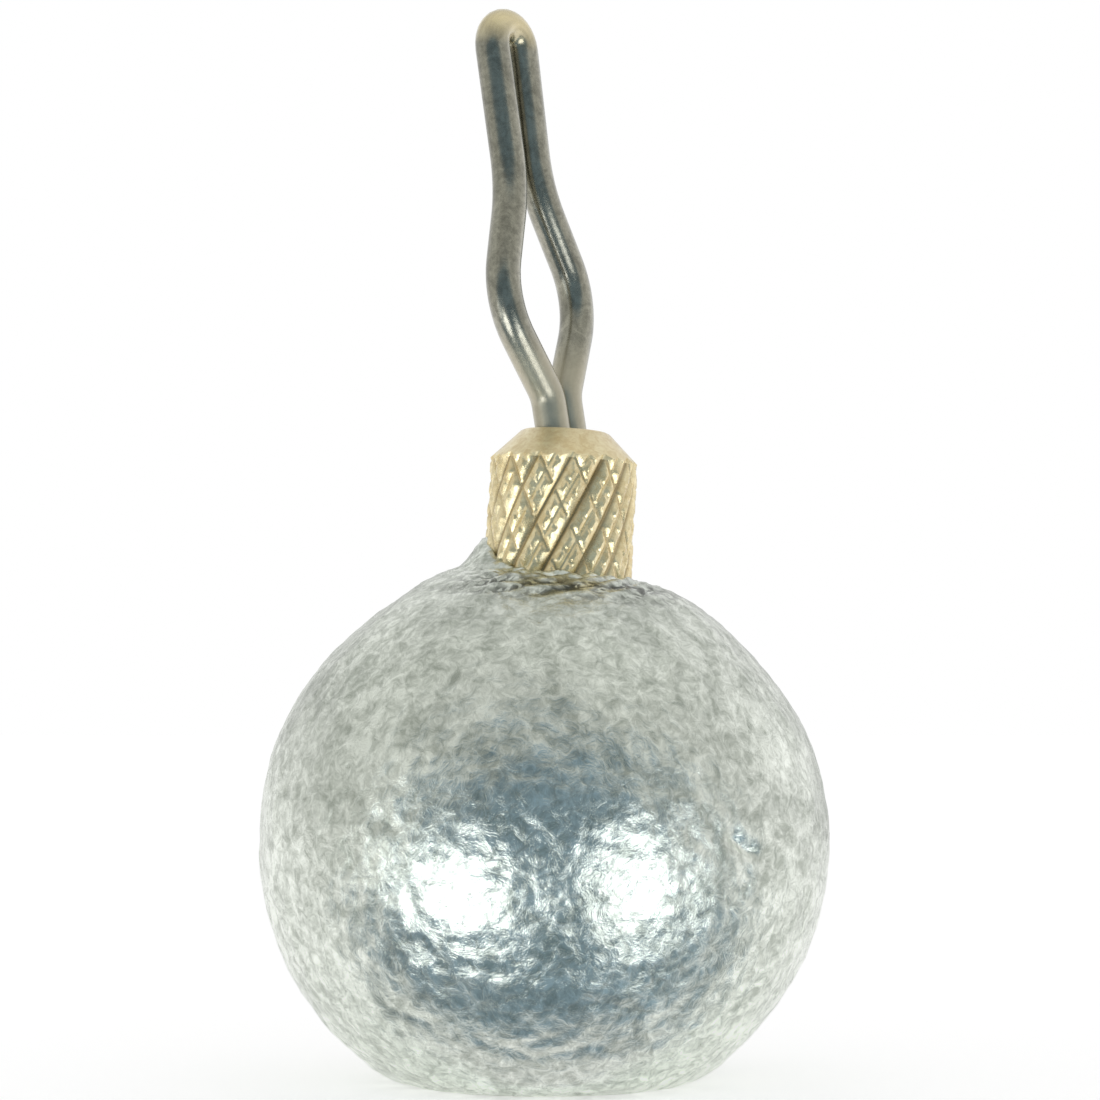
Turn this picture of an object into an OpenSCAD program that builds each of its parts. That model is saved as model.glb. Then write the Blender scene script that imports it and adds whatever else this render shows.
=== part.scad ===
// Ball sinker for drop-shot fishing. A bent-wire line clip turns in a knurled brass barrel that is cast
// into a lead ball. The ball stands on a small flat, and the frame's origin is the middle of that flat.

/* [Lead ball] */
// Diameter of the ball
ball_d = 12.2; // [10:0.1:20]
// Depth of the flat under the ball, below the full sphere
flat_depth = 0.96; // [0.3:0.02:1.6]
// Lean of the barrel off the flat's square, as cast, in degrees
barrel_lean = 3.1; // [0:0.1:8]
// Height that the lead climbs the barrel above the ball
collar_h = 0.34; // [0.1:0.02:0.6]
// Width of the foot of that collar, outside its lip
collar_w = 0.32; // [0.15:0.01:0.6]
// Thickness of the collar's lip
collar_lip = 0.08; // [0.04:0.01:0.2]
// Gap between the cast lead and the crests of the knurl
cast_gap = 0.02; // [0.01:0.01:0.06]

/* [Swivel barrel] */
// Diameter over the crests of the knurl
barrel_d = 3.2; // [3:0.05:4.4]
// Length of the barrel
barrel_len = 4.8; // [3.8:0.1:6.4]
// Height of the barrel's top face above the ball's crown
barrel_proud = 2.7; // [1.6:0.05:3]
// Diameter of the flat top face, inside the cone
top_face_d = 1.86; // [1.8:0.02:2.2]
// Slope of the cone, in degrees below the level
cone_slope = 44.5; // [35:0.5:60]
// Break on the edge between the top face and the cone
nose_break = 0.06; // [0.02:0.01:0.06]
// Break on the bottom edge
foot_break = 0.2; // [0.1:0.05:0.4]
// Grooves in each hand of the diamond knurl
knurl_starts = 26; // [18:1:34]
// Angle between the grooves and the barrel's axis, in degrees
knurl_angle = 28; // [20:1:40]
// Depth of the grooves
knurl_depth = 0.1; // [0.05:0.01:0.18]

/* [Swivel seat] */
// Thickness of the rim that holds the clip's button, under the top face
roof_t = 0.6; // [0.5:0.02:0.8]
// Radial clearance of the shank in the rim
swivel_gap = 0.08; // [0.05:0.01:0.1]
// Break on the edge of the hole
hole_break = 0.05; // [0.02:0.01:0.06]
// Diameter of the button on the shank
button_d = 2.1; // [1.9:0.05:2.2]
// Thickness of the button
button_h = 0.55; // [0.4:0.05:0.8]
// Round on the button's edges
button_round = 0.15; // [0.05:0.01:0.18]
// Clearance round the button
seat_gap = 0.1; // [0.05:0.01:0.12]
// Clearance between the button and the rim
end_gap = 0.05; // [0.03:0.01:0.1]
// Clearance under the button
floor_gap = 0.15; // [0.05:0.05:0.4]

/* [Line clip] */
// Diameter of the wire
wire_d = 0.75; // [0.6:0.01:0.78]
// Height of the clip's tip above the barrel's top face, along the clip
clip_len = 9.42; // [8.6:0.02:12]
// Distance between the legs' centre lines where they are pressed together at the neck
neck_w = 0.62; // [0.6:0.01:0.74]
// Seam left between the pressed flats of the legs
leg_seam = 0.02; // [0.01:0.01:0.04]
// Height of the neck above the barrel's top face, up to where the legs part
neck_len = 0.78; // [0.5:0.02:1.1]
// Bend radius at the neck
neck_bend = 0.8; // [0.6:0.1:1.2]
// Distance between the centre lines where they would meet at the corners of the eye
eye_w = 3.12; // [2.2:0.02:3.4]
// Height of the corners of the eye above the barrel's top face
eye_h = 2.85; // [2.6:0.05:3.2]
// Bend radius at the corners of the eye
eye_bend = 1.85; // [1:0.05:2]
// Space between the legs where they pinch the line
pinch_gap = 0.18; // [0.05:0.01:0.3]
// Height of that pinch above the barrel's top face
pinch_h = 5.38; // [5:0.02:6]
// Bend radius at the pinch
pinch_bend = 3.4; // [2:0.1:4]
// Space between the legs under the half turn at the tip
tip_gap = 0.3; // [0.1:0.02:0.4]
// Lean of the clip off the barrel's axis, in degrees
clip_lean = 11.7; // [0:0.1:12.5]
// Depth below the top face at which the clip begins to lean
lean_depth = 0.45; // [0.35:0.01:0.5]
// Depth below the top face at which the legs run into the round shank
shank_depth = 0.22; // [0.15:0.01:0.26]
// Turn of the clip about the barrel's axis, in degrees
clip_turn = 55; // [0:1:90]

/* [Hidden] */
// Facets of a full turn
round_fn = 96;
// Sides of the wire, and steps of one bend and of the half turn
wire_sides = 20;
bend_steps = 8;
tip_steps = 20;
// How far a cut runs past what it cuts
over = 0.5;
// How deep a fused piece starts inside its neighbour
sink = 0.05;
// How far the shank stands out past the legs that run into it
shank_cover = 0.02;

// Ball
ball_r = ball_d / 2;
ball_z = ball_r - flat_depth;

// Barrel, in its own frame: the origin is the middle of the top face, and +Z points out
barrel_r = barrel_d / 2;
barrel_top = ball_r + barrel_proud;
shank_r = (neck_w + wire_d) / 2 + shank_cover;
hole_r = shank_r + swivel_gap;
button_r = button_d / 2;
button_top = -roof_t - end_gap;
button_z = button_top - button_h;

// Clip, in its own frame: the origin is where the lean begins, and +Z runs up between the legs
wire_r = wire_d / 2;
tip_r = wire_r + tip_gap / 2;
lean_rise = lean_depth / cos(clip_lean);
tip_z = lean_rise + clip_len - wire_r - tip_r;

// Knurl: one cell is a four-sided pyramid, and its rows and columns run at half cells
knurl_cols = 2 * knurl_starts;
knurl_row_h = PI * barrel_r / knurl_starts / tan(knurl_angle);
knurl_rows = ceil((barrel_len + 2 * over) / knurl_row_h);

// Height of the ball's surface above its centre, at a distance from the barrel's axis
function ball_height(r) = sqrt(ball_r * ball_r - r * r);

// Places children in the barrel's frame, measured from the ball's centre
module at_ball_centre() {
    translate([0, 0, ball_z])
        rotate([0, barrel_lean, 0])
            children();
}

// Places children at the barrel's top face
module at_barrel_top() {
    at_ball_centre()
        translate([0, 0, barrel_top])
            children();
}

// Lead that creeps up round the barrel as it sets: a thin lip with a hollow fillet down to the ball
module lead_collar() {
    lip_r = barrel_r + cast_gap + collar_lip;
    foot_r = lip_r + collar_w;
    lip_z = ball_height(lip_r) + collar_h;
    foot_z = ball_height(foot_r) - sink;
    drop = lip_z - foot_z;
    fillet_r = (collar_w * collar_w + drop * drop) / (2 * collar_w);
    rotate_extrude($fn = round_fn)
        difference() {
            translate([barrel_r - sink, foot_z - sink])
                square([foot_r - barrel_r + sink, drop + sink]);
            translate([lip_r + fillet_r, lip_z])
                circle(r = fillet_r, $fn = round_fn);
        }
}

module lead_ball() {
    socket_len = barrel_len + cast_gap;
    color([0.62, 0.65, 0.66])
        difference() {
            union() {
                translate([0, 0, ball_z])
                    sphere(r = ball_r, $fn = round_fn);
                at_ball_centre()
                    lead_collar();
            }
            // The flat that the ball stands on
            translate([-ball_r, -ball_r, -flat_depth - over])
                cube([ball_d, ball_d, flat_depth + over]);
            // The socket that the lead forms round the barrel
            at_barrel_top()
                translate([0, 0, -socket_len])
                    cylinder(r = barrel_r + cast_gap, h = socket_len + over, $fn = round_fn);
        }
}

// A rod with raised pyramids between two crossing sets of grooves. Points at even places of the grid are
// groove crossings and the others are crests, and each square is folded along the groove that crosses it.
module knurled_rod() {
    rows = knurl_rows;
    cols = knurl_cols;
    root_r = barrel_r - knurl_depth;
    function at(row, col) = row * cols + col % cols;
    points = [
        for (row = [0:rows], col = [0:cols - 1])
            let (r = (row + col) % 2 == 0 ? root_r : barrel_r, a = 360 * col / cols)
                [r * cos(a), r * sin(a), over - row * knurl_row_h]
    ];
    middles = [[0, 0, over], [0, 0, over - rows * knurl_row_h]];
    sides = [
        for (row = [0:rows - 1], col = [0:cols - 1])
            let (a = at(row, col), b = at(row, col + 1), c = at(row + 1, col + 1), d = at(row + 1, col))
                each (row + col) % 2 == 0 ? [[a, b, c], [a, c, d]] : [[a, b, d], [b, c, d]]
    ];
    ends = [
        for (col = [0:cols - 1])
            each [
                [len(points), at(0, col + 1), at(0, col)],
                [len(points) + 1, at(rows, col), at(rows, col + 1)]
            ]
    ];
    polyhedron(points = concat(points, middles), faces = concat(sides, ends), convexity = 4);
}

// What the lathe leaves: the cone, the broken edges, the hole and the seat of the button
module turned_blank() {
    top_r = top_face_d / 2;
    far_r = barrel_r + over;
    seat_r = button_r + seat_gap;
    rotate_extrude($fn = round_fn)
        polygon([
            [hole_r + hole_break, 0],
            [top_r - nose_break, 0],
            [top_r + nose_break * cos(cone_slope), -nose_break * sin(cone_slope)],
            [far_r, -(far_r - top_r) * tan(cone_slope)],
            [far_r, over + foot_break - barrel_len],
            [barrel_r - foot_break, -barrel_len],
            [0, -barrel_len],
            [0, button_z - floor_gap],
            [seat_r, button_z - floor_gap],
            [seat_r, -roof_t],
            [hole_r, -roof_t],
            [hole_r, -hole_break]
        ]);
}

module swivel_barrel() {
    color([0.83, 0.71, 0.42])
        at_barrel_top()
            intersection() {
                knurled_rod();
                turned_blank();
            }
}

// A place on the wire is [across, up, heading], with the heading in degrees from upright
function heading(from, to) = atan2(to.x - from.x, to.y - from.y);

// The places along one bend about a corner, between the headings that meet there
function bend(corner, before, after, bend_r) =
    let (
        turn = after - before,
        reach = bend_r * tan(abs(turn) / 2),
        arm = sign(turn) * bend_r,
        centre = corner - reach * [sin(before), cos(before)] + arm * [cos(before), -sin(before)]
    )
        [
            for (step = [0:bend_steps])
                let (h = before + turn * step / bend_steps)
                    [centre.x - arm * cos(h), centre.y + arm * sin(h), h]
        ];

// One leg from the shank to the tip. The straight above the pinch runs as a tangent onto the half turn.
function leg_places() =
    let (
        foot = [neck_w / 2, 0],
        neck = [neck_w / 2, lean_rise + neck_len],
        eye = [eye_w / 2, lean_rise + eye_h],
        pinch = [wire_r + pinch_gap / 2, lean_rise + pinch_h],
        tip = [0, tip_z],
        rise = heading(neck, eye),
        fall = heading(eye, pinch),
        slot = heading(pinch, tip) + asin(tip_r / norm(tip - pinch))
    )
        concat(
            [[foot.x, foot.y, 0]],
            bend(neck, 0, rise, neck_bend),
            bend(eye, rise, fall, eye_bend),
            bend(pinch, fall, slot, pinch_bend)
        );

// The half turn over the tip, from one leg to the other
function tip_places(slot) = [
    for (step = [0:tip_steps])
        let (h = slot - (180 + 2 * slot) * step / tip_steps)
            [tip_r * cos(h), tip_z - tip_r * sin(h), h]
];

// The hairpin: two legs, pressed flat against each other at the neck, and the half turn at the tip
module hairpin() {
    leg = leg_places();
    count = len(leg);
    tip = tip_places(leg[count - 1][2]);
    other_leg = [for (i = [count - 1:-1:0]) [-leg[i].x, leg[i].y, -180 - leg[i][2]]];
    places = concat(leg, tip, other_leg);
    last = len(places) - 1;
    function kept_clear(x, i) =
        i < count ? max(x, leg_seam / 2) : i > last - count ? min(x, -leg_seam / 2) : x;
    points = [
        for (i = [0:last], side = [0:wire_sides - 1])
            let (place = places[i], a = 360 * side / wire_sides, out = wire_r * cos(a))
                [
                    kept_clear(place.x + out * cos(place[2]), i),
                    wire_r * sin(a),
                    place.y - out * sin(place[2])
                ]
    ];
    walls = [
        for (i = [0:last - 1], side = [0:wire_sides - 1])
            let (
                a = i * wire_sides + side,
                b = i * wire_sides + (side + 1) % wire_sides,
                c = b + wire_sides,
                d = a + wire_sides
            )
                each [[a, c, b], [a, d, c]]
    ];
    feet = [
        [for (side = [0:wire_sides - 1]) side],
        [for (side = [wire_sides - 1:-1:0]) last * wire_sides + side]
    ];
    polyhedron(points = points, faces = concat(walls, feet), convexity = 4);
}

// The wire's two ends, pressed into one round shank and headed into a button
module headed_shank() {
    translate([0, 0, button_top - sink])
        cylinder(r = shank_r, h = sink - button_top - shank_depth, $fn = round_fn);
    translate([0, 0, button_z])
        rotate_extrude($fn = round_fn)
            union() {
                square([button_r - button_round, button_h]);
                translate([0, button_round])
                    square([button_r, button_h - 2 * button_round]);
                for (z = [button_round, button_h - button_round])
                    translate([button_r - button_round, z])
                        circle(r = button_round, $fn = wire_sides);
            }
}

module line_clip() {
    color([0.38, 0.39, 0.36])
        at_barrel_top() {
            headed_shank();
            translate([0, 0, -lean_depth])
                rotate([0, -clip_lean, 0])
                    rotate([0, 0, clip_turn])
                        hairpin();
        }
}

lead_ball();
swivel_barrel();
line_clip();
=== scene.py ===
import math

import bmesh
import bpy
import numpy as np
from mathutils import Matrix, Vector


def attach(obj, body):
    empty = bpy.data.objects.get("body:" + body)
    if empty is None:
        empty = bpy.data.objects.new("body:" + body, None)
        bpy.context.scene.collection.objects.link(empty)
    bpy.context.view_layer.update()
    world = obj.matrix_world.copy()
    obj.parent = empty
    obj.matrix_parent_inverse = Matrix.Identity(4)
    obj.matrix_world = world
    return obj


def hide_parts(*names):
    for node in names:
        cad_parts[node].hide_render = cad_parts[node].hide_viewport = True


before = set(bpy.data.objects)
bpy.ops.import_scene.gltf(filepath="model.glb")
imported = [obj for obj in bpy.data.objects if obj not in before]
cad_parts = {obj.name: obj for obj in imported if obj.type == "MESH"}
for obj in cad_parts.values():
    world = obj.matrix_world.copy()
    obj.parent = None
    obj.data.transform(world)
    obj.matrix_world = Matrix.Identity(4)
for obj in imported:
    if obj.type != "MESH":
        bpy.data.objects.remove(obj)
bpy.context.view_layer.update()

# Lead ball: the weight itself, one casting of soft lead poured round the foot of the swivel barrel. It comes
# out a little lumpy, with a crinkled skin, a small flat to stand on and a tongue of lead that crept up the
# barrel. Each piece is shaped in millimetres about its own axis and then settled in place.
MM = 0.001
ball_r = 6.086
ball_z = 5.14
barrel_lean = math.radians(3.1)
barrel_r = 1.6
ball_segments = 420
ball_rings = 200
shoulder_r = 2.9
# Rings of the shoulder round the barrel, as radius and height in the barrel's frame. They run from the ball's
# edge inwards up a shallow curve, over the rounded rim beside the barrel and down the socket.
shoulder_rings = [
    (2.80, 5.385), (2.70, 5.425), (2.60, 5.462), (2.51, 5.490), (2.43, 5.512), (2.36, 5.530), (2.29, 5.547),
    (2.23, 5.560), (2.17, 5.572), (2.11, 5.583), (2.05, 5.593), (1.99, 5.602), (1.94, 5.608), (1.89, 5.614),
    (1.84, 5.619), (1.79, 5.624), (1.75, 5.628), (1.71, 5.631), (1.68, 5.632), (1.65, 5.630), (1.625, 5.620),
    (1.605, 5.595), (1.590, 5.540), (1.585, 5.400), (1.590, 5.200), (1.620, 5.100), (1.620, 3.980),
]
# Broad dents left by the mould and by handling: direction from the ball's centre, width and depth
dents = [
    ((0.70, -0.05, 0.71), 3.4, 0.110), ((-0.62, -0.10, 0.78), 2.4, 0.050), ((0.74, 0.10, -0.62), 2.2, 0.050),
    ((-0.20, -0.93, 0.30), 2.6, 0.030), ((0.45, -0.80, -0.40), 2.2, 0.030), ((0.10, 0.95, 0.25), 3.2, 0.060),
    ((-0.70, 0.70, -0.10), 2.6, 0.045), ((0.55, 0.80, -0.30), 2.4, 0.040), ((-0.95, 0.05, -0.35), 2.2, 0.025),
]
# Cold shuts and nicks on the front: both ends, as x and height from the ball's centre, then width and depth
creases = [
    ((-1.25, -3.80), (-0.30, -4.16), 0.10, 0.035), ((-0.20, -4.22), (1.13, -3.90), 0.10, 0.035),
    ((-0.70, -3.95), (0.34, -3.73), 0.09, 0.03), ((-2.96, -3.23), (-2.25, -3.45), 0.10, 0.045),
    ((3.82, 0.20), (4.12, -0.05), 0.13, 0.14), ((-3.31, 0.69), (-2.96, 0.44), 0.13, 0.05),
    ((0.92, -2.94), (1.92, -3.22), 0.10, 0.02),
]
# The tongue of lead that crept up the knurl, and the low swelling under it. Both are on the left.
lip_height = 0.64
lip_reach = 0.52
swell_height = 0.26
swell_reach = 1.6
lip_side = math.radians(172)
lip_spread = math.radians(44)
# Cold folds run round the barrel, where the lead chilled first, and hold dross in their valleys. The dark
# colour laid in those valleys is partly dross and partly painted shade.
fold_height = 0.046
fold_waves = 14
folds_out_to = 3.6
dross_and_shade_r = 2.85
dross_and_shade_width = 0.50
# In the barrel's frame, the crown of the ball is above the first height and the shoulder above the second
crown_z = 5.0
shoulder_z = 5.15
# The flat's worn edge: how round it is, how far that sinks the ball and how high the sinking reaches
foot_wear = 0.42
foot_sink = 0.09
foot_blend = 0.6


def places_of(piece):
    """The piece's vertices as rows of x, y and z."""
    places = np.empty(len(piece.data.vertices) * 3)
    piece.data.vertices.foreach_get("co", places)
    return places.reshape(-1, 3)


def pick_only(piece):
    if bpy.context.mode != "OBJECT":
        bpy.ops.object.mode_set(mode="OBJECT")
    bpy.ops.object.select_all(action="DESELECT")
    if piece:
        piece.select_set(True)
        bpy.context.view_layer.objects.active = piece


def choose(piece, wanted):
    """Leaves the piece in edit mode with the vertices picked for which wanted(x, y, z) holds."""
    pick_only(piece)
    piece.data.vertices.foreach_set("select", np.zeros(len(piece.data.vertices), bool))
    bpy.ops.object.mode_set(mode="EDIT")
    bpy.ops.mesh.select_mode(type="VERT")
    bpy.ops.mesh.select_all(action="DESELECT")
    edit = bmesh.from_edit_mesh(piece.data)
    for v in edit.verts:
        v.select = bool(wanted(*v.co))
    edit.select_flush(True)
    bmesh.update_edit_mesh(piece.data)


def settle(piece, place):
    """Puts the piece where it belongs and writes that place into its mesh."""
    pick_only(piece)
    piece.matrix_world = place
    bpy.ops.object.transform_apply(location=True, rotation=True, scale=True)


def draw_rings(stops, radius, height):
    """Extrudes the picked ring through a list of radii and heights about the piece's own axis."""
    for next_radius, next_height in stops:
        share = next_radius / radius
        bpy.ops.mesh.extrude_region_move(
            TRANSFORM_OT_translate={"value": (0, 0, next_height - height)}
        )
        bpy.ops.transform.resize(value=(share, share, 1), center_override=(0, 0, 0))
        radius, height = next_radius, next_height


def apply_modifiers(piece):
    pick_only(piece)
    for name in [m.name for m in piece.modifiers]:
        bpy.ops.object.modifier_apply(modifier=name)


def roughen(piece, name, group, size, strength, depth, middle=0.5):
    """Displaces the picked group of the surface by clouds whose features have the given size."""
    texture = bpy.data.textures.new(name, "CLOUDS")
    texture.noise_scale = size
    texture.noise_depth = depth
    push = piece.modifiers.new(name, "DISPLACE")
    push.texture = texture
    push.texture_coords = "LOCAL"
    push.strength = strength
    push.mid_level = middle
    push.vertex_group = group


def weigh(piece, name, weights):
    """Makes a vertex group with one weight for each vertex."""
    group = piece.vertex_groups.new(name=name)
    for index in np.flatnonzero(weights > 0):
        group.add([int(index)], float(min(weights[index], 1)), "REPLACE")


barrel_frame = Matrix.Translation((0, 0, ball_z)) @ Matrix.Rotation(barrel_lean, 4, "Y")

pick_only(None)
bpy.ops.mesh.primitive_uv_sphere_add(segments=ball_segments, ring_count=ball_rings, radius=ball_r)
ball = bpy.context.object
ball.name = "cast_lead_ball"
choose(ball, lambda x, y, z: z > 0 and math.hypot(x, y) < shoulder_r)
bpy.ops.mesh.delete(type="VERT")
bpy.ops.object.mode_set(mode="OBJECT")
x, y, z = places_of(ball).T
rim_r = np.hypot(x, y)[z > ball_r / 2].min()
rim_z = math.sqrt(ball_r**2 - rim_r**2)
choose(ball, lambda x, y, z: z > 0 and math.hypot(x, y) < rim_r + 0.001)
draw_rings(shoulder_rings, rim_r, rim_z)
bpy.ops.mesh.edge_face_add()

bpy.ops.object.mode_set(mode="OBJECT")
places = places_of(ball)
x, y, z = places.T
radius = np.hypot(x, y)
turn = np.abs((np.arctan2(y, x) - lip_side + math.pi) % (2 * math.pi) - math.pi)
climb = lip_height * np.clip(1 - (radius - barrel_r) / lip_reach, 0, 1) ** 1.3
climb += swell_height * np.clip(1 - (radius - barrel_r) / swell_reach, 0, 1)
climb *= np.exp(-((turn / lip_spread) ** 2))
chance = np.random.default_rng(12)
folds = np.zeros(len(places))
for wave in range(fold_waves):
    across, around, start = chance.uniform(10, 26), chance.integers(-22, 23), chance.uniform(0, 2 * math.pi)
    folds += np.sin(across * radius + around * np.arctan2(y, x) + start) / math.sqrt(fold_waves)
on_top = z > crown_z
# The folds, and the dross with its painted shade, are strongest in front of the barrel and behind it
fore_aft = 0.2 + 0.8 * np.clip(2.4 * np.abs(np.sin(np.arctan2(y, x) - 0.10)) - 1.1, 0, 1)
near_barrel = np.clip((folds_out_to - radius) / 0.9, 0, 1) * np.clip((radius - barrel_r) / 0.08, 0, 1)
near_barrel = near_barrel * on_top * fore_aft
# The tongue leans in against the knurl
inner_edge = (z > shoulder_z) & (radius < 1.67)
places[:, :2] *= 1 - 0.035 * (np.clip(climb / 0.2, 0, 1) * inner_edge)[:, None]
places[:, 2] += np.where(z > shoulder_z, climb, 0) + fold_height * folds * near_barrel
ball.data.vertices.foreach_set("co", places.ravel())
# The dark colour's weights, in the fold valleys round the barrel: partly real dross, partly painted shade
dross_and_shade_weights = np.exp(-(((radius - dross_and_shade_r) / dross_and_shade_width) ** 2)) * on_top * fore_aft
dross_and_shade_weights *= np.clip(0.9 - 1.2 * folds, 0, 1) * (1 - 0.8 * np.clip(climb / 0.15, 0, 1))
ball.data.attributes.new("dross_and_painted_shade", "FLOAT", "POINT").data.foreach_set("value", dross_and_shade_weights)
socket = (z > 0) & (radius < 1.7)
weigh(ball, "body", np.where(on_top | socket, np.clip((radius - 2.2) / 1.0, 0, 1), 1))
weigh(ball, "skirt", np.where(on_top & (radius > barrel_r), 1 - np.clip((radius - 2.0) / 1.6, 0, 1), 0))
settle(ball, barrel_frame)
roughen(ball, "mould_lumps", "body", size=2.6, strength=0.10, depth=1, middle=0.62)
roughen(ball, "skin_waves", "body", size=0.9, strength=0.07, depth=2)
roughen(ball, "skin_grain", "body", size=0.30, strength=0.042, depth=1)
roughen(ball, "skirt_crumbs", "skirt", size=0.22, strength=0.09, depth=2)
apply_modifiers(ball)

places = places_of(ball)
centre = np.array((0, 0, ball_z))
for direction, width, depth in dents:
    aim = np.array(direction) / np.linalg.norm(direction)
    away = np.linalg.norm(places - (centre + aim * ball_r), axis=1) / width
    places -= np.outer(depth * (1 - np.minimum(away, 1) ** 2) ** 2, aim)
outward = places - centre
outward /= np.linalg.norm(outward, axis=1)[:, None]
for start, end, width, depth in creases:
    run = np.array(end) - start
    reach = (places - centre)[:, (0, 2)] - start
    share = np.clip(reach @ run / (run @ run), 0, 1)
    away = np.linalg.norm(reach - np.outer(share, run), axis=1) / width
    places -= (depth * np.exp(-(away**2)) * (places[:, 1] < 0))[:, None] * outward
# The flat it stands on, with its edge worn round
z = places[:, 2]
sink = foot_sink * np.clip(1 - z / foot_blend, 0, 1)
places[:, 2] = np.maximum((z + np.hypot(z, foot_wear)) / 2 - sink, 0)
ball.data.vertices.foreach_set("co", places.ravel())
settle(ball, Matrix.Scale(MM, 4))
bpy.ops.object.shade_smooth()


def new_metal(name, metallic, coat=0.0, coat_roughness=0.03):
    material = bpy.data.materials.new(name)
    material.use_nodes = True
    shader = material.node_tree.nodes["Principled BSDF"]
    shader.inputs["Metallic"].default_value = metallic
    shader.inputs["Coat Weight"].default_value = coat
    shader.inputs["Coat Roughness"].default_value = coat_roughness
    return material, material.node_tree, shader


def add_node(tree, kind, place, settings=(), values=()):
    node = tree.nodes.new(kind)
    node.location = place
    for key, value in dict(settings).items():
        setattr(node, key, value)
    for key, value in dict(values).items():
        node.inputs[key].default_value = value
    return node


# The skin that all three metals share, each at its own grain: cloudy patches of tarnish, specks, and the
# small relief under them
tone_stops = (0.40, 0.60)
skin = bpy.data.node_groups.new("metal_skin", "ShaderNodeTree")
for name, kind, way in (
    ("Place", "NodeSocketVector", "INPUT"),
    ("Grain", "NodeSocketFloat", "INPUT"),
    ("Speck Share", "NodeSocketFloat", "INPUT"),
    ("Tarnish", "NodeSocketFloat", "OUTPUT"),
    ("Specks", "NodeSocketFloat", "OUTPUT"),
    ("Relief", "NodeSocketFloat", "OUTPUT"),
):
    skin.interface.new_socket(name, in_out=way, socket_type=kind)
join = skin.links.new
given = skin.nodes.new("NodeGroupInput")
made = add_node(skin, "NodeGroupOutput", (900, 0))
for name, kind, times, place, detail, roughness in (
    ("patches", "ShaderNodeTexNoise", 0.2, 300, 5, 0.65),
    ("specks", "ShaderNodeTexNoise", 1.0, 0, 5, 0.72),
    ("flakes", "ShaderNodeTexVoronoi", 0.8, -300, 0, 0),
):
    times_node = add_node(skin, "ShaderNodeMath", (200, place), {"operation": "MULTIPLY"}, {1: times})
    join(given.outputs["Grain"], times_node.inputs[0])
    pattern = add_node(skin, kind, (400, place), {"name": name}, {"Detail": detail, "Roughness": roughness})
    join(given.outputs["Place"], pattern.inputs["Vector"])
    join(times_node.outputs[0], pattern.inputs["Scale"])
patches, specks, flakes = (skin.nodes[name] for name in ("patches", "specks", "flakes"))
patches.inputs["Distortion"].default_value = 1.5
specks.inputs["Distortion"].default_value = 0.8
blend = add_node(skin, "ShaderNodeMix", (650, 200), {"data_type": "FLOAT"})
join(given.outputs["Speck Share"], blend.inputs["Factor"])
join(patches.outputs["Fac"], blend.inputs["A"])
join(specks.outputs["Fac"], blend.inputs["B"])
join(blend.outputs["Result"], made.inputs["Tarnish"])
join(specks.outputs["Fac"], made.inputs["Specks"])
relief = add_node(skin, "ShaderNodeMath", (650, -200), {"operation": "MULTIPLY_ADD"}, {1: 0.5})
join(flakes.outputs["Distance"], relief.inputs[0])
join(specks.outputs["Fac"], relief.inputs[2])
join(relief.outputs[0], made.inputs["Relief"])


def use_skin(tree, shader, grain, speck_share, dark, light, relief_depth, gloss):
    """Lays the shared skin over a metal: two tones, relief, and a roughness that follows the specks."""
    join = tree.links.new
    where = add_node(tree, "ShaderNodeTexCoord", (-1400, 0))
    laid = add_node(tree, "ShaderNodeGroup", (-1200, 0), {"node_tree": skin}, {"Grain": grain})
    laid.inputs["Speck Share"].default_value = speck_share
    join(where.outputs["Object"], laid.inputs["Place"])
    tone = add_node(tree, "ShaderNodeValToRGB", (-900, 200))
    for element, position, colour in zip(tone.color_ramp.elements, tone_stops, (dark, light)):
        element.position = position
        element.color = (*colour, 1)
    join(laid.outputs["Tarnish"], tone.inputs["Fac"])
    join(tone.outputs["Color"], shader.inputs["Base Color"])
    dull = add_node(
        tree, "ShaderNodeMapRange", (-900, -100), (),
        {"From Min": 0.3, "From Max": 0.7, "To Min": gloss[0], "To Max": gloss[1]},
    )
    join(laid.outputs["Specks"], dull.inputs["Value"])
    join(dull.outputs["Result"], shader.inputs["Roughness"])
    bump = add_node(tree, "ShaderNodeBump", (-500, -300), (), {"Strength": 1.0, "Distance": relief_depth})
    join(laid.outputs["Relief"], bump.inputs["Height"])
    join(bump.outputs["Normal"], shader.inputs["Normal"])
    return where, tone, dull, bump


lead, tree, shader = new_metal("cast_lead", metallic=1.0)
where, tone, _, _ = use_skin(
    tree, shader, grain=3800, speck_share=0.58, dark=(0.465, 0.50, 0.44), light=(0.945, 0.985, 0.905),
    relief_depth=0.021 * MM, gloss=(0.29, 0.165),
)
join = tree.links.new
# Dross and painted shade: dark, dull scraps in the fold valleys round the barrel, partly real dross and
# partly painted shade of those recesses
dross_and_shade_mask = add_node(tree, "ShaderNodeAttribute", (-900, 600), {"attribute_name": "dross_and_painted_shade"})
ragged_noise = add_node(
    tree, "ShaderNodeTexNoise", (-900, 850), (), {"Scale": 3600, "Detail": 3, "Distortion": 1.5}
)
join(where.outputs["Object"], ragged_noise.inputs["Vector"])
ragged_cut = add_node(tree, "ShaderNodeMapRange", (-700, 850), (), {"From Min": 0.42, "From Max": 0.52})
join(ragged_noise.outputs["Fac"], ragged_cut.inputs["Value"])
dross_and_shade_cover = add_node(tree, "ShaderNodeMath", (-500, 700), {"operation": "MULTIPLY"})
join(dross_and_shade_mask.outputs["Fac"], dross_and_shade_cover.inputs[0])
join(ragged_cut.outputs["Result"], dross_and_shade_cover.inputs[1])
dross_and_shade_mixed = add_node(tree, "ShaderNodeMix", (-300, 400), {"data_type": "RGBA"}, {"B": (0.05, 0.055, 0.045, 1)})
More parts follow.
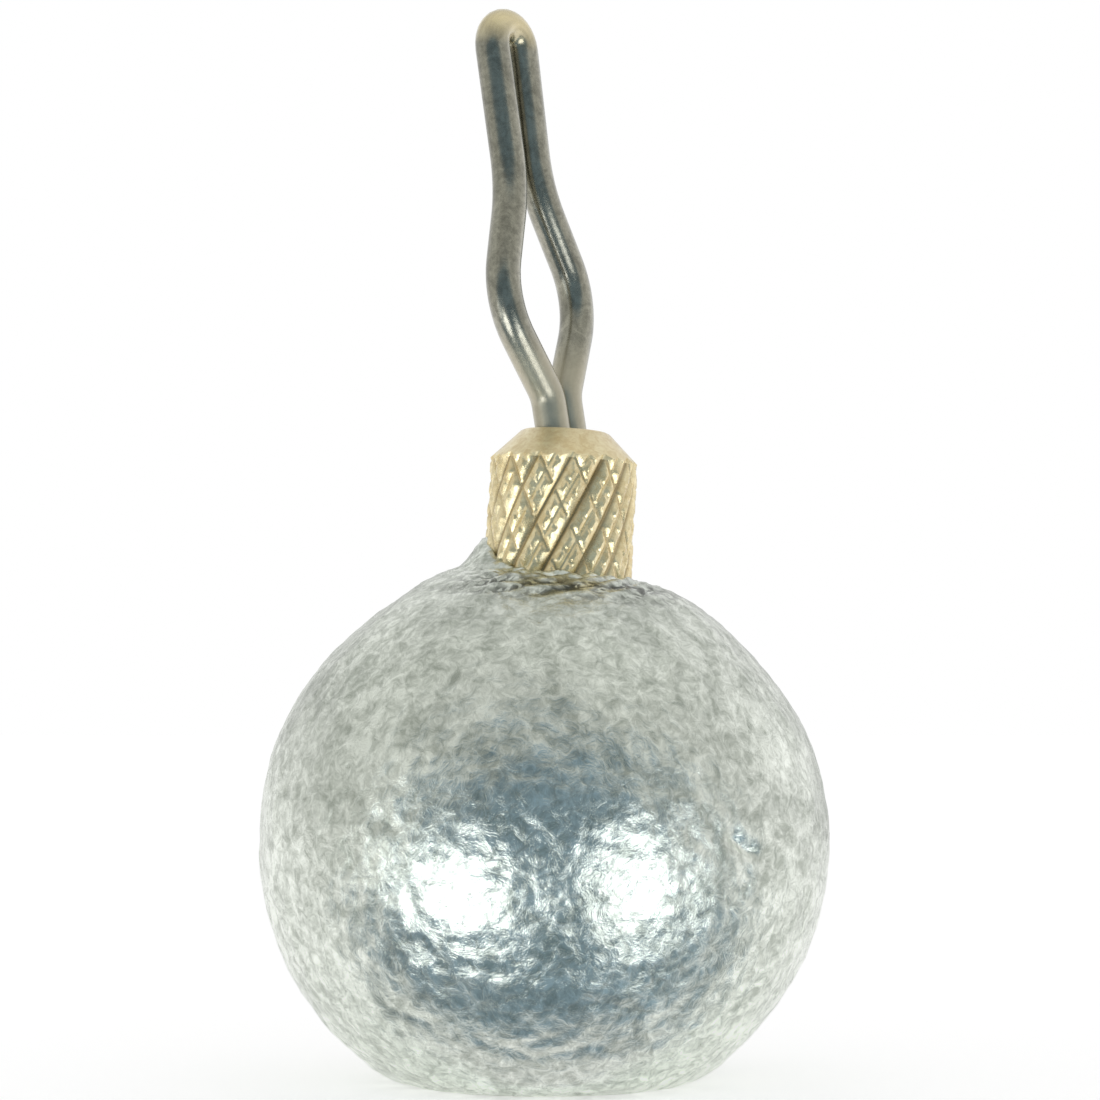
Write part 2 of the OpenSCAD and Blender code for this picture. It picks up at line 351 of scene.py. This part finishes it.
join(dross_and_shade_cover.outputs[0], dross_and_shade_mixed.inputs["Factor"])
join(tone.outputs["Color"], dross_and_shade_mixed.inputs["A"])
join(dross_and_shade_mixed.outputs["Result"], shader.inputs["Base Color"])
ball.data.materials.append(lead)

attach(ball, "sinker")
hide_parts("lead_ball")

# Swivel barrel: turned from brass rod, with its foot cast into the lead. Its side is rolled with a diamond
# knurl that keys it there, its nose is turned to a cone, and the rim of its hole holds the clip's button in.
crest_r = 1.599
knurl_starts = 26
knurl_angle = math.radians(28)
groove_slope = math.tan(math.radians(27))
# The very bottom of a groove, as wide and as deep again as this on each side
groove_core = 0.03
groove_gap = 2 * math.pi * barrel_r / knurl_starts * math.cos(knurl_angle)
row_height = math.pi * barrel_r / knurl_starts / math.tan(knurl_angle)
# How deep each hand of the knurl goes: the roll tracked twice, so every other groove is shallower
rising_depths = (0.104, 0.060)
falling_depths = (0.080, 0.034)
groove_spread = 0.012
crest_wear = 0.010
# The side is a net of small diamond patches whose edges run along the grooves, this many to a cell's side
cell_steps = 8
patch_z = row_height / cell_steps
patch_turn = math.pi / knurl_starts / cell_steps
patch_rows = 56
knurl_foot = -4.95
# How far the barrel's top face is above the ball's centre, along the barrel's axis
barrel_top = 8.8
barrel_len = 4.8
blank_start_r = 0.5
cone_foot = -0.662
# The lathe's profile, from the bottom of the barrel round the outside and down the hole: radius and height
# above the top face
turned_rings = [
    (1.40, -barrel_len), (crest_r, -4.60), (crest_r, cone_foot), (0.965, -0.036), (0.89, 0.0), (0.835, 0.0),
    (0.785, -0.05), (0.785, -0.60), (1.15, -0.60), (1.15, -1.35),
]

pick_only(None)
bpy.ops.mesh.primitive_plane_add(size=2)
knurl = bpy.context.object
knurl.name = "turned_brass_barrel"
side_x = crest_r * math.cos(patch_turn)
side_y = crest_r * math.sin(patch_turn)
patch_corners = [(side_x, -side_y, 0), (crest_r, 0, -patch_z), (crest_r, 0, patch_z), (side_x, side_y, 0)]
knurl.data.vertices.foreach_set("co", np.array(patch_corners).ravel())
around = knurl_starts * cell_steps
bpy.ops.object.mode_set(mode="EDIT")
bpy.ops.mesh.select_all(action="SELECT")
bpy.ops.mesh.spin(
    steps=around - 1, dupli=True, angle=2 * math.pi * (around - 1) / around, center=(0, 0, 0), axis=(0, 0, 1)
)
bpy.ops.mesh.select_all(action="SELECT")
bpy.ops.mesh.duplicate_move(TRANSFORM_OT_translate={"value": (0, 0, patch_z)})
bpy.ops.transform.rotate(value=patch_turn, orient_axis="Z", center_override=(0, 0, 0))
bpy.ops.mesh.select_all(action="SELECT")
for row in range(patch_rows):
    bpy.ops.mesh.duplicate_move(TRANSFORM_OT_translate={"value": (0, 0, 2 * patch_z)})
bpy.ops.mesh.select_all(action="SELECT")
bpy.ops.mesh.remove_doubles(threshold=0.002)
bpy.ops.mesh.select_all(action="DESELECT")
bpy.ops.mesh.select_mode(type="EDGE")
bpy.ops.mesh.select_non_manifold(extend=False, use_wire=False, use_boundary=True, use_multi_face=False)
bpy.ops.mesh.edge_face_add()
bpy.ops.mesh.select_mode(type="VERT")
bpy.ops.mesh.select_all(action="SELECT")
bpy.ops.mesh.normals_make_consistent(inside=False)
bpy.ops.object.mode_set(mode="OBJECT")

# The roll presses two crossing sets of V grooves into the skin
places = places_of(knurl)
x, y, z = places.T
turns = np.arctan2(y, x) / (2 * math.pi) * knurl_starts
climb = z / (2 * row_height)
chance = np.random.default_rng(7)
pressed = np.zeros(len(places))
for along, depths in ((turns - climb, rising_depths), (turns + climb, falling_depths)):
    spread = chance.uniform(-groove_spread, groove_spread, knurl_starts)
    for beside in (-1, 0, 1):
        groove = np.round(along).astype(int) + beside
        bottom = np.where(groove % 2 == 0, *depths) + spread[groove % knurl_starts]
        off = np.abs(along - groove) * groove_gap
        pressed = np.maximum(pressed, bottom - groove_slope * off + np.maximum(groove_core - off, 0))
wave = np.sin(turns * 1.7 + climb * 2.3) * np.sin(turns * 0.9 - climb * 3.1)
pressed = np.maximum(pressed, crest_wear * (0.5 + 0.5 * wave))
places[:, :2] *= (1 - pressed / crest_r)[:, None]
places[:, 2] += knurl_foot
knurl.data.vertices.foreach_set("co", places.ravel())

pick_only(None)
bpy.ops.mesh.primitive_circle_add(vertices=160, radius=blank_start_r, fill_type="NGON")
blank = bpy.context.object
blank.name = "turned_blank"
settle(blank, Matrix.Translation((0, 0, -barrel_len)))
choose(blank, lambda x, y, z: True)
draw_rings(turned_rings, blank_start_r, -barrel_len)
bpy.ops.mesh.edge_face_add()
bpy.ops.mesh.select_all(action="SELECT")
bpy.ops.mesh.normals_make_consistent(inside=False)
bpy.ops.object.mode_set(mode="OBJECT")

cut = knurl.modifiers.new("turned_blank", "BOOLEAN")
cut.operation = "INTERSECT"
cut.solver = "EXACT"
cut.object = blank
apply_modifiers(knurl)
bpy.data.objects.remove(blank)
settle(knurl, Matrix.Scale(MM, 4) @ barrel_frame @ Matrix.Translation((0, 0, barrel_top)))
bpy.ops.object.shade_smooth_by_angle(angle=math.radians(24))

brass, tree, shader = new_metal("turned_brass", metallic=0.8, coat=0.5, coat_roughness=0.14)
where, tone, dull, bump = use_skin(
    tree, shader, grain=7000, speck_share=0.6, dark=(0.80, 0.64, 0.34), light=(1.0, 0.88, 0.56),
    relief_depth=0.0035 * MM, gloss=(0.32, 0.18),
)
join = tree.links.new
# The turned nose is duller than the rolled side, with fine marks of the tool round it
barrel_axis = (math.sin(barrel_lean), 0, math.cos(barrel_lean))
along = add_node(
    tree, "ShaderNodeVectorMath", (-1400, 700), {"operation": "DOT_PRODUCT"}, {1: barrel_axis}
)
join(where.outputs["Object"], along.inputs[0])
nose_z = (ball_z * math.cos(barrel_lean) + barrel_top + cone_foot) * MM
turned = add_node(
    tree, "ShaderNodeMapRange", (-1200, 700), (),
    {"From Min": nose_z - 0.02 * MM, "From Max": nose_z + 0.01 * MM},
)
join(along.outputs["Value"], turned.inputs["Value"])
# The bottoms of the grooves are darker, by the distance from the barrel's axis
off_centre = add_node(
    tree, "ShaderNodeVectorMath", (-1400, 1200), {"operation": "SUBTRACT"}, {1: (0, 0, ball_z * MM)}
)
join(where.outputs["Object"], off_centre.inputs[0])
swept = add_node(
    tree, "ShaderNodeVectorMath", (-1200, 1200), {"operation": "CROSS_PRODUCT"}, {1: barrel_axis}
)
join(off_centre.outputs[0], swept.inputs[0])
from_axis = add_node(tree, "ShaderNodeVectorMath", (-1000, 1200), {"operation": "LENGTH"})
join(swept.outputs[0], from_axis.inputs[0])
deep_in_groove = add_node(
    tree, "ShaderNodeMapRange", (-800, 1200), (),
    {"From Min": 1.48 * MM, "From Max": 1.545 * MM, "To Min": 0.9, "To Max": 0.0},
)
join(from_axis.outputs["Value"], deep_in_groove.inputs["Value"])
groove_dark_off_nose = add_node(tree, "ShaderNodeMath", (-600, 1200), {"operation": "SUBTRACT", "use_clamp": True})
join(deep_in_groove.outputs["Result"], groove_dark_off_nose.inputs[0])
join(turned.outputs["Result"], groove_dark_off_nose.inputs[1])
groove_darkened = add_node(tree, "ShaderNodeMix", (-400, 900), {"data_type": "RGBA"}, {"B": (0.19, 0.12, 0.03, 1)})
join(groove_dark_off_nose.outputs[0], groove_darkened.inputs["Factor"])
join(tone.outputs["Color"], groove_darkened.inputs["A"])
join(groove_darkened.outputs["Result"], shader.inputs["Base Color"])
satin = add_node(tree, "ShaderNodeMath", (-700, 500), {"operation": "MULTIPLY_ADD"}, {1: 0.12})
join(turned.outputs["Result"], satin.inputs[0])
join(dull.outputs["Result"], satin.inputs[2])
join(satin.outputs[0], shader.inputs["Roughness"])
marks = add_node(
    tree, "ShaderNodeTexNoise", (-1000, 900), {"noise_dimensions": "1D"}, {"Scale": 30000, "Detail": 2}
)
join(along.outputs["Value"], marks.inputs["W"])
scored = add_node(tree, "ShaderNodeMath", (-700, 900), {"operation": "MULTIPLY"})
join(marks.outputs["Fac"], scored.inputs[0])
join(turned.outputs["Result"], scored.inputs[1])
rings = add_node(tree, "ShaderNodeBump", (-250, -300), (), {"Strength": 1.0, "Distance": 0.0012 * MM})
join(scored.outputs[0], rings.inputs["Height"])
join(bump.outputs["Normal"], rings.inputs["Normal"])
join(rings.outputs["Normal"], shader.inputs["Normal"])
knurl.data.materials.append(brass)

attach(knurl, "sinker")
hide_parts("swivel_barrel")

# Line clip: one length of hard drawn wire, free to turn in the barrel. It is bent double at the tip, opened
# into an eye, closed at the neck where its legs lie side by side, and headed into a button in the barrel.
wire_r = 0.375
clip_turn = math.radians(55)
clip_lean = math.radians(11.7)
lean_depth = 0.45
lean_rise = lean_depth / math.cos(clip_lean)
neck_w = 0.62
leg_seam = 0.02
# Above this height the clip is leant back a little, which sets its slot more upright than its eye
slot_foot = 5.4
slot_upright = 0.028
tip_r = 0.525
clip_reach = 9.33
tip_z = lean_rise + clip_reach - wire_r - tip_r
legs_foot = -0.2
neck_corner = (neck_w / 2, lean_rise + 0.78)
eye_corner = (1.56, lean_rise + 2.85)
pinch_corner = (0.465, lean_rise + 5.38)
neck_bend = 0.8
eye_bend = 1.85
pinch_bend = 3.4
wire_sides = 40
ring_gap = 0.12
shank_top = -0.22
shank_start_r = 0.6
# The shank and its button, from the top down: radius and height above the barrel's top face
button_rings = [
    (0.705, shank_top), (0.705, -0.65), (0.90, -0.65), (1.006, -0.694), (1.05, -0.80), (1.05, -1.05),
    (1.006, -1.156), (0.90, -1.20), (0.3, -1.20),
]


def heading(start, end):
    return math.atan2(end[0] - start[0], end[1] - start[1])


def lay_straight(start, end):
    """Extrudes the wire along a straight run."""
    steps = max(1, round(math.dist(start, end) / ring_gap))
    move = ((end[0] - start[0]) / steps, 0, (end[1] - start[1]) / steps)
    for step in range(steps):
        bpy.ops.mesh.extrude_region_move(TRANSFORM_OT_translate={"value": move})


def lay_bend(centre, turn, radius):
    """Spins the wire's open end about a centre."""
    bpy.ops.mesh.spin(
        steps=max(4, round(abs(turn) * radius / ring_gap)),
        angle=-turn,
        center=(centre[0], 0, centre[1]),
        axis=(0, 1, 0),
    )


def bend_places(corner, before, after, radius):
    """Where a bend starts, where it ends and its centre."""
    turn = after - before
    reach = radius * math.tan(abs(turn) / 2)
    arm = math.copysign(radius, turn)
    start = (corner[0] - reach * math.sin(before), corner[1] - reach * math.cos(before))
    end = (corner[0] + reach * math.sin(after), corner[1] + reach * math.cos(after))
    return start, end, (start[0] + arm * math.cos(before), start[1] - arm * math.sin(before))


rise = heading(neck_corner, eye_corner)
fall = heading(eye_corner, pinch_corner)
slot = heading(pinch_corner, (0, tip_z)) + math.asin(tip_r / math.dist(pinch_corner, (0, tip_z)))

pick_only(None)
bpy.ops.mesh.primitive_circle_add(vertices=wire_sides, radius=wire_r)
clip = bpy.context.object
clip.name = "bent_wire_clip"
settle(clip, Matrix.Translation((neck_w / 2, 0, legs_foot)))
choose(clip, lambda x, y, z: True)
end = (neck_w / 2, legs_foot)
for corner, before, after, radius in (
    (neck_corner, 0, rise, neck_bend),
    (eye_corner, rise, fall, eye_bend),
    (pinch_corner, fall, slot, pinch_bend),
):
    start, bend_end, centre = bend_places(corner, before, after, radius)
    lay_straight(end, start)
    lay_bend(centre, after - before, radius)
    end = bend_end
lay_straight(end, (tip_r * math.cos(slot), tip_z - tip_r * math.sin(slot)))
lay_bend((0, tip_z), -math.pi / 2 - slot, tip_r)
choose(clip, lambda x, y, z: z < legs_foot + 0.01)
bpy.ops.mesh.edge_face_add()
bpy.ops.object.mode_set(mode="OBJECT")
places = places_of(clip)
places[:, 0] = np.where(places[:, 2] < lean_rise + 2, np.maximum(places[:, 0], leg_seam / 2), places[:, 0])
clip.data.vertices.foreach_set("co", places.ravel())
mirror = clip.modifiers.new("other_leg", "MIRROR")
mirror.use_clip = True
mirror.merge_threshold = 0.002
apply_modifiers(clip)
settle(clip, Matrix.Rotation(-clip_lean, 4, "Y") @ Matrix.Rotation(clip_turn, 4, "Z"))
settle(clip, Matrix.Translation((0, 0, -lean_depth)))
places = places_of(clip)
above = places[:, 2] - slot_foot
places[:, 0] += slot_upright * (np.hypot(above, 0.5) + above) / 2
clip.data.vertices.foreach_set("co", places.ravel())

pick_only(None)
bpy.ops.mesh.primitive_circle_add(vertices=96, radius=shank_start_r, fill_type="NGON")
button = bpy.context.object
settle(button, Matrix.Translation((0, 0, shank_top)))
choose(button, lambda x, y, z: True)
draw_rings(button_rings, shank_start_r, shank_top)
bpy.ops.mesh.edge_face_add()
bpy.ops.object.mode_set(mode="OBJECT")
pick_only(button)
clip.select_set(True)
bpy.context.view_layer.objects.active = clip
bpy.ops.object.join()
bpy.ops.object.mode_set(mode="EDIT")
bpy.ops.mesh.select_all(action="SELECT")
bpy.ops.mesh.normals_make_consistent(inside=False)
bpy.ops.object.mode_set(mode="OBJECT")
settle(clip, Matrix.Scale(MM, 4) @ barrel_frame @ Matrix.Translation((0, 0, barrel_top)))
bpy.ops.object.shade_smooth_by_angle(angle=math.radians(50))

wire, tree, shader = new_metal("drawn_wire", metallic=1.0, coat=0.9, coat_roughness=0.10)
where, tone, dull, _ = use_skin(
    tree, shader, grain=9000, speck_share=0.45, dark=(0.225, 0.218, 0.172), light=(0.42, 0.405, 0.325),
    relief_depth=0.003 * MM, gloss=(0.30, 0.20),
)
join = tree.links.new
# The dark skin of the wire is worn at the tip, where its pale brassy tone is partly bare metal and partly
# painted reflection, and the pressed neck is dull and pale
split = add_node(tree, "ShaderNodeSeparateXYZ", (-1400, 700))
join(where.outputs["Object"], split.inputs[0])
tip_wear_and_reflection = add_node(
    tree, "ShaderNodeMapRange", (-1100, 700), (), {"From Min": 22.25 * MM, "From Max": 22.85 * MM}
)
join(split.outputs["Z"], tip_wear_and_reflection.inputs["Value"])
bare_and_reflected_tip = add_node(tree, "ShaderNodeMix", (-300, 500), {"data_type": "RGBA"}, {"B": (0.82, 0.70, 0.41, 1)})
join(tip_wear_and_reflection.outputs["Result"], bare_and_reflected_tip.inputs["Factor"])
join(tone.outputs["Color"], bare_and_reflected_tip.inputs["A"])
neck = add_node(
    tree, "ShaderNodeMapRange", (-1100, 950), (),
    {"From Min": 15.3 * MM, "From Max": 16.0 * MM, "To Min": 0.75, "To Max": 0.0},
)
join(split.outputs["Z"], neck.inputs["Value"])
scuffed = add_node(tree, "ShaderNodeMix", (-100, 500), {"data_type": "RGBA"}, {"B": (0.56, 0.515, 0.385, 1)})
join(neck.outputs["Result"], scuffed.inputs["Factor"])
join(bare_and_reflected_tip.outputs["Result"], scuffed.inputs["A"])
join(scuffed.outputs["Result"], shader.inputs["Base Color"])
blunt = add_node(tree, "ShaderNodeMath", (-500, 100), {"operation": "MULTIPLY_ADD"}, {1: 0.22})
join(neck.outputs["Result"], blunt.inputs[0])
join(dull.outputs["Result"], blunt.inputs[2])
join(blunt.outputs[0], shader.inputs["Roughness"])
clip.data.materials.append(wire)

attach(clip, "clip")
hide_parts("line_clip")

# Table, light and camera: a pale table and backdrop, two soft lamps low in front with a fainter one to the
# left, and a room for the metal to mirror. The camera stands a little above the ball and looks slightly up.
camera_place = (0.14 * MM, -64.5 * MM, 7.61 * MM)
camera_pitch = math.radians(3.335)
camera_lens = 98.2
# The table is in two parts, in metres: the one in front of this line doesn't show in the metal
table_front = -3.4 * MM
table_reach = 2.0
table_width = 4.0
table_glow = 0.45
sky_light = 0.7
lamp_distance = 50 * MM
# The soft lamps: turn to the right, height (both in degrees), radius and power
soft_lamps = [
    ("lamp_left", -30, -19, 13, 0.0055),
    ("lamp_right", 38, -17, 16, 0.0061),
    ("lamp_side", -56, -4, 10, 0.0012),
]
# The mirrored room: its radius in millimetres, its shades, and how far its clutter darkens it
room_r = 90
overhead_shade = (0.73, 0.74, 0.715)
camera_shade = (0.225, 0.315, 0.385)
clutter_depth = 0.28
clutter_waves = 12

camera_data = bpy.data.cameras.new("camera")
camera_data.lens = camera_lens
camera_data.sensor_width = 36
camera_data.clip_start = 1 * MM
camera_data.clip_end = 10
camera = bpy.data.objects.new("camera", camera_data)
bpy.context.collection.objects.link(camera)
camera.location = camera_place
camera.rotation_euler = (math.pi / 2 + camera_pitch, 0, 0)
bpy.context.scene.camera = camera


def seen_directly(tree, x):
    """A value of 1 for the camera, mirrors and glass, and of 0 for the light that falls on things."""
    path = add_node(tree, "ShaderNodeLightPath", (x, 0))
    last = path.outputs["Is Camera Ray"]
    for step, ray in enumerate(("Is Glossy Ray", "Is Transmission Ray")):
        either = add_node(tree, "ShaderNodeMath", (x + 200 * (step + 1), 0), {"operation": "MAXIMUM"})
        tree.links.new(last, either.inputs[0])
        tree.links.new(path.outputs[ray], either.inputs[1])
        last = either.outputs[0]
    return last


paper = bpy.data.materials.new("white_table")
paper.use_nodes = True
tree = paper.node_tree
join = tree.links.new
shader = tree.nodes["Principled BSDF"]
shader.inputs["Base Color"].default_value = (0.8, 0.8, 0.8, 1)
shader.inputs["Roughness"].default_value = 0.9
shader.inputs["Specular IOR Level"].default_value = 0.0
glow = add_node(tree, "ShaderNodeEmission", (0, -300), (), {"Color": (1, 1, 1, 1)})
lift = add_node(tree, "ShaderNodeMath", (-200, -300), {"operation": "MULTIPLY"}, {1: table_glow})
join(seen_directly(tree, -800), lift.inputs[0])
join(lift.outputs[0], glow.inputs["Strength"])
both = add_node(tree, "ShaderNodeAddShader", (300, 0))
join(shader.outputs[0], both.inputs[0])
join(glow.outputs[0], both.inputs[1])
join(both.outputs[0], tree.nodes["Material Output"].inputs["Surface"])

for name, near, far, seen_in_metal in (
    ("table_back", table_front, table_reach, True),
    ("table_front", -table_reach, table_front, False),
):
    pick_only(None)
    bpy.ops.mesh.primitive_plane_add(size=1)
    table = bpy.context.object
    table.name = name
    stretch = Matrix.Diagonal((table_width, far - near, 1, 1))
    settle(table, Matrix.Translation((0, (near + far) / 2, 0)) @ stretch)
    table.data.materials.append(paper)
    table.visible_glossy = seen_in_metal
    table.visible_shadow = seen_in_metal

world = bpy.data.worlds.new("studio")
bpy.context.scene.world = world
world.use_nodes = True
tree = world.node_tree
join = tree.links.new
sky = tree.nodes["Background"]
level = add_node(tree, "ShaderNodeMapRange", (-300, 0), (), {"To Min": sky_light, "To Max": 1.0})
join(seen_directly(tree, -900), level.inputs["Value"])
sky.inputs["Color"].default_value = (1, 1, 1, 1)
join(level.outputs["Result"], sky.inputs["Strength"])

for name, azimuth, elevation, radius, power in soft_lamps:
    lamp_data = bpy.data.lights.new(name, "AREA")
    lamp_data.shape = "DISK"
    lamp_data.size = 2 * radius * MM
    lamp_data.energy = power
    lamp = bpy.data.objects.new(name, lamp_data)
    bpy.context.collection.objects.link(lamp)
    across, up = math.radians(azimuth), math.radians(elevation)
    aim = Vector((math.sin(across) * math.cos(up), -math.cos(across) * math.cos(up), math.sin(up)))
    lamp.location = Vector((0, 0, ball_z * MM)) + aim * lamp_distance
    lamp.rotation_euler = aim.to_track_quat("Z", "Y").to_euler()

# The room in front, seen only by reflection: dim and bluish round the camera, grey overhead, white elsewhere
pick_only(None)
bpy.ops.mesh.primitive_uv_sphere_add(segments=128, ring_count=64, radius=room_r)
room = bpy.context.object
room.name = "dim_room"
# Which way a surface in the middle faces when it shows the camera each place on the wall
walls = places_of(room) / room_r
facing = walls - np.array((0, 1, 0))
facing /= np.linalg.norm(facing, axis=1)[:, None] + 1e-9
side, rise = facing[:, 0], facing[:, 2]


def soft_step(value, edge, width):
    return np.clip((edge - value) / width + 0.5, 0, 1)[:, None]


wide = np.where(rise > -0.15, 0.54, 0.63)
round_camera = soft_step(np.hypot((side - 0.02) / wide, (rise + 0.15) / 0.52), 1.0, 0.14)
overhead = soft_step(np.hypot(side + 0.10, rise - 0.16), 0.72, 0.36)
shades = np.ones((len(facing), 3))
shades += overhead * (np.array(overhead_shade) - shades)
shades += round_camera * (np.array(camera_shade) - shades)
chance = np.random.default_rng(3)
clutter = np.zeros(len(facing))
for wave in range(clutter_waves):
    way, start = chance.normal(0, 8, 3), chance.uniform(0, 2 * math.pi)
    clutter += np.sin(walls @ way + start) / math.sqrt(clutter_waves)
shades *= 1 - clutter_depth * np.clip(0.5 + 0.7 * clutter, 0, 1)[:, None]
tint = room.data.attributes.new("shade", "FLOAT_COLOR", "POINT")
tint.data.foreach_set("color", np.hstack([shades, np.ones((len(facing), 1))]).ravel())
settle(room, Matrix.Scale(MM, 4))
wall_paint = bpy.data.materials.new("dim_room")
wall_paint.use_nodes = True
tree = wall_paint.node_tree
tree.nodes.remove(tree.nodes["Principled BSDF"])
glow = add_node(tree, "ShaderNodeEmission", (0, 0), (), {"Strength": 1.0})
tree.links.new(glow.outputs[0], tree.nodes["Material Output"].inputs["Surface"])
paint = add_node(tree, "ShaderNodeAttribute", (-300, 0), {"attribute_name": "shade"})
tree.links.new(paint.outputs["Color"], glow.inputs["Color"])
room.data.materials.append(wall_paint)
room.visible_camera = False
room.visible_diffuse = False
room.visible_shadow = False
room.visible_transmission = False

bpy.context.scene.view_settings.view_transform = "Standard"
